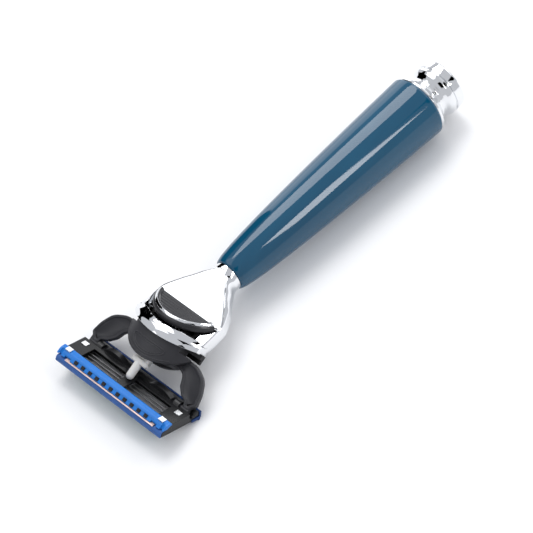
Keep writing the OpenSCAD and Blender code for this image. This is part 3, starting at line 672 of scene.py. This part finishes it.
def coil(node, wire=0.13, turns=6.5, steps=28, air=0.02):
    """A compression spring between the CAD spring's ends."""
    low, high = span(node, DOCK)
    length, middle = high[1] - low[1], (low[2] + high[2]) / 2
    mean_r = (high[0] - low[0]) / 2 - wire - air
    first, last = low[1] + wire + air, high[1] - wire - air
    points = []
    for k in range(int(turns * steps) + 1):
        t = k / (turns * steps)
        rise = t - 0.115 * sin(4 * pi * t) / (2 * pi) - 0.07 * sin(2 * pi * t) / (2 * pi)
        a = 2 * pi * turns * t
        points.append((mean_r * cos(a), first + (last - first) * rise, middle + mean_r * sin(a)))
    piece = tube(node + "_coil", points, wire, STEEL, DOCK, middle, closed=False)
    stand_for(piece, node)
    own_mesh(piece)


coil("button_spring")
coil("plunger_spring")


# ---------------------------------------------------------------- plunger
TIP_Y, FINGER_R = -12.0, 1.15
BAR_FRONT, BAR_T, BAR_HALF_W, BAR_TOP, BAR_TOP_R = -8.3, 1.75, 2.75, 1.15, 4.2
AXIS_R = 0.0001
root_y = BAR_FRONT + 0.6
dome = [(FINGER_R * sin(t), TIP_Y - FINGER_R * cos(t), 0) for t in np.linspace(0.12, pi / 2, 14)]
finger_line = [(AXIS_R, TIP_Y - FINGER_R, 0), *dome, (FINGER_R, root_y, 0), (AXIS_R, root_y, 0)]
finger = lathe("plunger_finger", finger_line, GREY, DOCK, 64)
arch_turns = np.linspace(-0.52, 0.52, 17)
arch = [(BAR_TOP_R * sin(t), BAR_TOP - BAR_TOP_R + BAR_TOP_R * cos(t), 0) for t in arch_turns]
outline = rounded([(-BAR_HALF_W, -1.3, 0.35), (-BAR_HALF_W, 0.3, 0.6), *arch[2:-2],
                   (BAR_HALF_W, 0.3, 0.6), (BAR_HALF_W, -1.3, 0.35)], 5)
bar = prism("plunger_bar", outline, BAR_FRONT, BAR_FRONT + BAR_T, GREY, DOCK, "Y", 0.5, 6)
tongue = copy_of("plunger", GREY, 0.0, name="plunger_tongue")
keep = box("cutter", (-4, -7.2, -2), (4, -1.0, 0.55), GREY, DOCK, 0.02)
combine(tongue, [keep], "INTERSECT")
stand_for(finger, "plunger")
for part in (bar, tongue):
    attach(part, "plunger")


# ---------------------------------------------------------------- yoke
ROOF_R = 15.45
SADDLE_FRONT_Y, SADDLE_FRONT_R = -6.2, 13.5
ARM_TOP, ARM_T = -3.12619, 1.6
PIVOT_Y, PIVOT_Z = -10.9515, -3.92619
yoke = copy_of("yoke", YOKE, 0.0, name="yoke_saddle")
cutters = []
for near, far in ((9, 30), (-30, -9)):
    cutters.append(box("cutter", (near, -20, -12), (far, 10, ARM_TOP + 0.06), YOKE, DOCK, 0.02))
combine(yoke, cutters)
bevel(yoke, 0.16, 35, 3)
stand_for(yoke, "yoke")
arm = rounded([
    (7.4, 0.3, 0), (13.6, 0.3, 6), (17.7, -1.7, 5), (19.6, -5.2, 7), (20.4, -8.5, 0.9), (19.3, -9.75, 0.5),
    (18.9, PIVOT_Y + 0.25, 0.4), (16.75, PIVOT_Y + 0.25, 0.3), (16.6, -9.3, 0.9), (14.5, -8.45, 1.4),
    (12.6, -6.6, 2), (11.3, -3.7, 2.2), (7.4, -2.5, 0)], 7)
ARM_EDGE_R = 0.3
arm_edge = [(ARM_EDGE_R * (1 - sin(t)), ARM_EDGE_R * (1 - cos(t))) for t in np.linspace(0, pi / 2, 5)]
arm_panel = [(0.62, 0.0), (0.7, 0.02), (0.78, 0.1), (0.86, 0.24), (0.96, 0.3)]
for side_name, s in (("left", -1), ("right", 1)):
    outline = [(s * x, y) for x, y in arm]
    levels = [(inset(outline, d), ARM_TOP - ARM_T + z) for d, z in arm_edge]
    levels += [(inset(outline, d), ARM_TOP - z) for d, z in arm_edge[::-1] + arm_panel]
    part = stack(f"yoke_arm_{side_name}", levels, YOKE, DOCK, 40)
    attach(part, "yoke")
    for kind, inner, outer, r in (("tip", 16.5, 19.2, 0.8), ("pin", 14.4, 17.0, 0.75)):
        ends = [(s * x, PIVOT_Y, PIVOT_Z) for x in (inner, outer)]
        part = rod(*ends, r, DOCK, 48, f"yoke_{kind}_{side_name}", YOKE)
        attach(bevel(part, 0.15, 50, 3), "yoke")


def on_saddle(x, y, lift=0.0):
    """A point on the saddle's arched roof."""
    return (x, y, ARCH_Z + sqrt((ROOF_R + lift) ** 2 - x * x))


def saddle_front(x):
    """How far back the saddle's curved front edge lies."""
    return SADDLE_FRONT_Y + SADDLE_FRONT_R - sqrt(SADDLE_FRONT_R ** 2 - x * x)


for i, (a, b, r) in enumerate(((5.7, 1.75, 0.17), (4.9, 1.2, 0.13))):
    ring = [on_saddle(a * cos(t), saddle_front(a * cos(t)) + 3.1 + b * sin(t), -0.02)
            for t in np.linspace(0, 2 * pi, 97)[:-1]]
    bead = tube(f"saddle_oval_{i + 1}", ring, r, YOKE, DOCK, ARCH_Z)
    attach(bead, "yoke")
edge_line = [on_saddle(x, saddle_front(x) + 0.75, -0.04) for x in np.linspace(-7.9, 7.9, 60)]
bead = tube("saddle_border", edge_line, 0.15, YOKE, DOCK, ARCH_Z, False)
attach(bead, "yoke")


# ---------------------------------------------------------------- cartridge
for node, mat, width, slot in (
        ("cartridge_housing", HOUSING, 0.07, "black_plastic"), ("trimmer_comb", COMB, 0.09, "comb_blue"),
        ("cap_lip", LIP, 0.04, "lip_blue"), ("guard_strip", GUARD, 0.04, "guard_blue"),
        ("lubricating_strip", STRIP, 0.05, "strip"), ("left_clip", ALUMINIUM, 0.05, "aluminium"),
        ("right_clip", ALUMINIUM, 0.05, "aluminium")):
    stand_for(copy_of(node, mat, width), node)


POCKETS, POCKET_PITCH, POCKET_HALF_W = 11, 2.75, 0.62
pocket_outline = [(0.93, 2.45), (1.62, 3.14), (1.45, 3.3), (0.76, 2.62)]
for i in range(POCKETS):
    x = (i - (POCKETS - 1) / 2) * POCKET_PITCH
    pocket = prism(f"comb_pocket_{i + 1}", pocket_outline, x - POCKET_HALF_W, x + POCKET_HALF_W, BLACK, CART,
                   "X", 0.06, 1)
    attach(pocket, "cartridge")


# ---------------------------------------------------------------- CAD nodes that stay as they are
plain = {"tie_rod": STEEL, "rod_washer": STEEL, "rod_nut": STEEL, "front_seal": SEAL, "rear_seal": SEAL,
         "lock_screw": STEEL, "trimmer_blade": TRIM_STEEL}
plain.update({f"blade_{i}": BLADE for i in range(1, 6)})
# The blade supports take the darkened steel: painted shade.
plain.update({f"blade_support_{i}": SHADED_SUPPORT_STEEL for i in range(1, 6)})
for node, mat in plain.items():
    data = nodes[node].data
    data.materials.clear()
    data.materials.append(mat)


# ---------------------------------------------------------------- floor, light and camera
def paper():
    s = Shader("paper", Specular_IOR_Level=0.3)
    fibre = s.noise(900, 5)
    s.link(s.mix(s.spread(fibre, 0, 1), (0.89, 0.89, 0.895), (0.90, 0.90, 0.905)), "Base Color")
    s.link(s.spread(fibre, 0.5, 0.62), "Roughness")
    return s.mat


mesh = bpy.data.meshes.new("floor")
mesh.from_pydata([(-3, -3, 0), (3, -3, 0), (3, 3, 0), (-3, 3, 0)], [], [(0, 1, 2, 3)])
floor = new_object("floor", mesh, paper())

world = bpy.data.worlds.new("studio")
bpy.context.scene.world = world
world.use_nodes = True
world.node_tree.nodes["Background"].inputs["Color"].default_value = (0.93, 0.95, 1.0, 1)
world.node_tree.nodes["Background"].inputs["Strength"].default_value = 0.64


def area(name, place, size, power, target=(0, 0, 0)):
    light = bpy.data.lights.new(name, "AREA")
    light.shape, light.size, light.size_y = "RECTANGLE", size[0], size[1]
    light.energy = power
    obj = bpy.data.objects.new(name, light)
    bpy.context.scene.collection.objects.link(obj)
    obj.location = place
    obj.rotation_mode = "QUATERNION"
    obj.rotation_quaternion = (Vector(place) - Vector(target)).to_track_quat("Z", "Y")


def card(name, place, size, target=(0, 0, 0)):
    """A black flag that only reflections see."""
    w, h = size[0] / 2, size[1] / 2
    mesh = bpy.data.meshes.new(name)
    mesh.from_pydata([(-w, -h, 0), (w, -h, 0), (w, h, 0), (-w, h, 0)], [], [(0, 1, 2, 3)])
    s = Shader(name, Base_Color=(0.0, 0.0, 0.0), Roughness=1.0, Specular_IOR_Level=0.0)
    obj = new_object(name, mesh, s.mat)
    obj.location = place
    obj.rotation_mode = "QUATERNION"
    obj.rotation_quaternion = (Vector(place) - Vector(target)).to_track_quat("Z", "Y")
    obj.visible_camera = obj.visible_diffuse = obj.visible_shadow = False


bpy.context.scene.view_settings.view_transform = "Standard"
area("key", (-0.45, 0.38, 0.98), (0.62, 0.56), 5.0, (-0.05, 0.02, 0))
area("fill", (-0.45, -0.24, 0.98), (0.66, 0.66), 1.5, (-0.05, -0.02, 0))
area("wedge", (0.78, 0.30, 0.70), (0.16, 0.40), 1.7)
area("left", (-1.15, 0.55, 0.32), (0.5, 0.7), 1.3)
area("back", (-0.10, 1.05, 0.72), (1.5, 0.62), 5.0)
card("flag_tail", (0.69, 0.70, 0.82), (0.5, 0.30))
card("flag_left", (-0.13, -0.018, 0.056), (0.115, 0.10), (0, -0.018, 0.02))

# Camera: its direction, how far off it is, its lens, and how far its middle passes beside the grip's front
AZ, EL, ROLL = radians(57.744), radians(50.932), radians(15.868)
DISTANCE, LENS, SENSOR = 0.9136266, 230.04878, 36.0
ASIDE, ABOVE = 0.009979882, 0.002281652
back = Vector((sin(AZ) * cos(EL), -cos(AZ) * cos(EL), sin(EL)))
right = Vector((cos(AZ), sin(AZ), 0))
up = back.cross(right)
right, up = right * cos(ROLL) - up * sin(ROLL), right * sin(ROLL) + up * cos(ROLL)
lay_down = Matrix.Rotation(-LAY, 3, "X")
back, right, up = (lay_down @ w for w in (back, right, up))
eye = HANDLE.translation + back * DISTANCE + right * ASIDE + up * ABOVE
camera = bpy.data.cameras.new("camera")
camera.sensor_width = SENSOR
camera.lens = LENS
camera.clip_start, camera.clip_end = 0.05, 20
cam = bpy.data.objects.new("camera", camera)
bpy.context.scene.collection.objects.link(cam)
cam.matrix_world = Matrix((right, up, back)).transposed().to_4x4()
cam.location = eye
bpy.context.scene.camera = cam
card("flag_camera", eye + back * 0.08, (0.42, 0.40))
